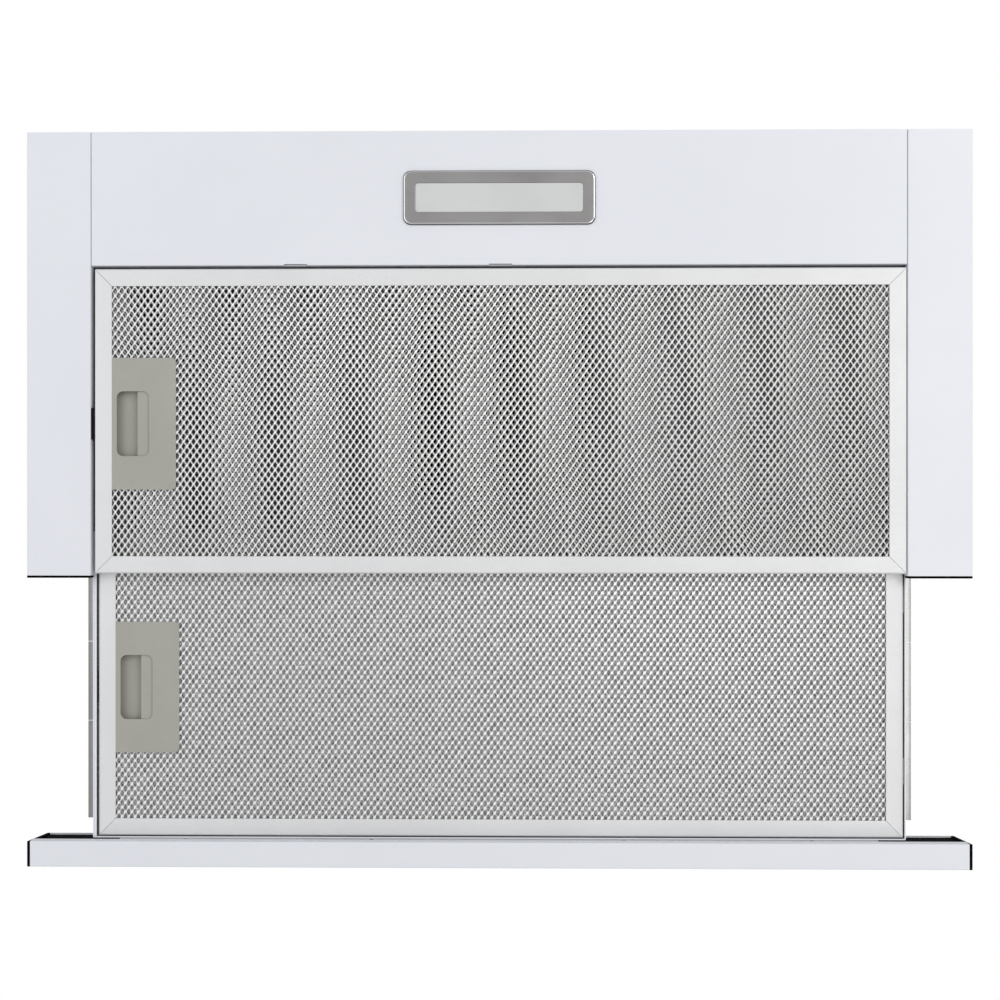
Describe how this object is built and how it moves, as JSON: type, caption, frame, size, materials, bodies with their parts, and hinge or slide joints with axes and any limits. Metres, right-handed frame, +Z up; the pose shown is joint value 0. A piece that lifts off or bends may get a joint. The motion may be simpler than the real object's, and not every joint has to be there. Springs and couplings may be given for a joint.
{
  "type": "range hood",
  "caption": "Slim pull-out range hood with a drawer, mesh grease filters, lamp panel, blower and duct collar.",
  "frame": {"origin": "middle of the four cabinet screw holes, in the plane of the cabinet's underside", "axes": "+X to the right of someone facing the hood, +Y towards the wall, +Z up"},
  "size_m": [0.6, 0.468, 0.2216],
  "materials": {
    "white_powder_coat": "satin powder coat",
    "galvanised_sheet": "galvanised sheet",
    "black_plastic": "fine grain",
    "bezel_metal": "brushed metallic",
    "frosted_lens": "frosted",
    "white_board": "white solder mask",
    "white_plastic": "smooth",
    "knob_plastic": "smooth",
    "aluminium_frame": "brushed",
    "aluminium_mesh": "bright mill finish",
    "latch_plastic": "beige grey, fine grain",
    "spring_steel": "bright",
    "zinc_steel": "zinc plated",
    "motor_steel": "lacquered",
    "rubber": "matt"
  },
  "bodies": {
    "housing": {"base_frame": "galvanised_sheet", "rail_wall_right": "galvanised_sheet", "rail_wall_left": "galvanised_sheet", "side_cover_right": "white_powder_coat", "side_cover_left": "white_powder_coat", "front_cap_right": "black_plastic", "front_cap_left": "black_plastic", "lamp_panel": "white_powder_coat", "lamp_bezel": "bezel_metal", "lamp_lens": "frosted_lens", "lamp_housing": "galvanised_sheet", "led_board": "white_board", "led_driver": "white_plastic", "rail_fixed_right": "zinc_steel", "rail_fixed_left": "zinc_steel", "control_fascia": "white_powder_coat", "light_switch_housing": "black_plastic", "speed_switch_housing": "black_plastic", "casing_shell": "galvanised_sheet", "casing_front": "galvanised_sheet", "casing_back": "galvanised_sheet", "casing_screws": "spring_steel", "outlet_collar": "black_plastic", "flap_pin": "spring_steel", "scroll_right": "black_plastic", "scroll_left": "black_plastic", "motor": "motor_steel", "motor_bracket": "galvanised_sheet", "motor_mounts": "rubber", "capacitor": "white_plastic", "terminal_box": "black_plastic", "cable_gland": "black_plastic"},
    "drawer": {"tray_frame": "white_powder_coat", "trim_bracket": "white_powder_coat", "tray_screws": "spring_steel", "trim_bar": "white_powder_coat", "trim_cap_right": "black_plastic", "trim_cap_left": "black_plastic", "rail_inner_right": "zinc_steel", "rail_inner_left": "zinc_steel", "front_filter_frame": "aluminium_frame", "front_filter_mesh": "aluminium_mesh", "front_filter_core": "aluminium_mesh", "front_latch_plate": "latch_plastic", "front_latch_spring": "spring_steel"},
    "cage_right": {"rail_cage_right": "black_plastic"},
    "cage_left": {"rail_cage_left": "black_plastic"},
    "front_latch": {"front_latch_slide": "latch_plastic"},
    "rear_filter": {"rear_filter_frame": "aluminium_frame", "rear_filter_mesh": "aluminium_mesh", "rear_filter_core": "aluminium_mesh", "rear_latch_plate": "latch_plastic", "rear_latch_spring": "spring_steel"},
    "rear_latch": {"rear_latch_slide": "latch_plastic"},
    "impeller": {"impeller": "black_plastic"},
    "flap_front": {"flap_front": "black_plastic"},
    "flap_rear": {"flap_rear": "black_plastic"},
    "light_switch": {"light_switch_knob": "knob_plastic"},
    "speed_switch": {"speed_switch_knob": "knob_plastic"}
  },
  "joints": [
    {"name": "drawer_slide", "type": "slide", "parent": "housing", "child": "drawer", "axis": [0, 1, 0], "range_m": [0, 0.1675]},
    {"name": "cage_right_slide", "type": "slide", "parent": "housing", "child": "cage_right", "axis": [0, 1, 0], "range_m": [0, 0.08375]},
    {"name": "cage_left_slide", "type": "slide", "parent": "housing", "child": "cage_left", "axis": [0, 1, 0], "range_m": [0, 0.08375]},
    {"name": "front_latch_pull", "type": "slide", "parent": "drawer", "child": "front_latch", "axis": [-1, 0, 0], "range_m": [0, 0.0045], "stiffness_N_per_m": 400, "deforming": ["front_latch_spring"]},
    {"name": "rear_filter_swing", "type": "hinge", "parent": "housing", "child": "rear_filter", "pos_m": [-0.259, -0.0445, -0.04], "axis": [0, 1, 0], "range_deg": [0, 60]},
    {"name": "rear_latch_pull", "type": "slide", "parent": "rear_filter", "child": "rear_latch", "axis": [-1, 0, 0], "range_m": [0, 0.0045], "stiffness_N_per_m": 400, "deforming": ["rear_latch_spring"]},
    {"name": "impeller_spin", "type": "hinge", "parent": "housing", "child": "impeller", "pos_m": [0, -0.03, 0.064], "axis": [1, 0, 0], "continuous": true},
    {"name": "flap_front_turn", "type": "hinge", "parent": "housing", "child": "flap_front", "pos_m": [0, 0.045, 0.15], "axis": [-1, 0, 0], "range_deg": [0, 70]},
    {"name": "flap_rear_turn", "type": "hinge", "parent": "housing", "child": "flap_rear", "pos_m": [0, 0.045, 0.15], "axis": [1, 0, 0], "range_deg": [0, 70]},
    {"name": "light_switch_slide", "type": "slide", "parent": "housing", "child": "light_switch", "axis": [1, 0, 0], "range_m": [0, 0.006]},
    {"name": "speed_switch_slide", "type": "slide", "parent": "housing", "child": "speed_switch", "axis": [1, 0, 0], "range_m": [0, 0.018]}
  ],
  "couplings": [
    {"joint": "cage_right_slide", "follows": "drawer_slide", "ratio": 0.5},
    {"joint": "cage_left_slide", "follows": "drawer_slide", "ratio": 0.5}
  ]
}
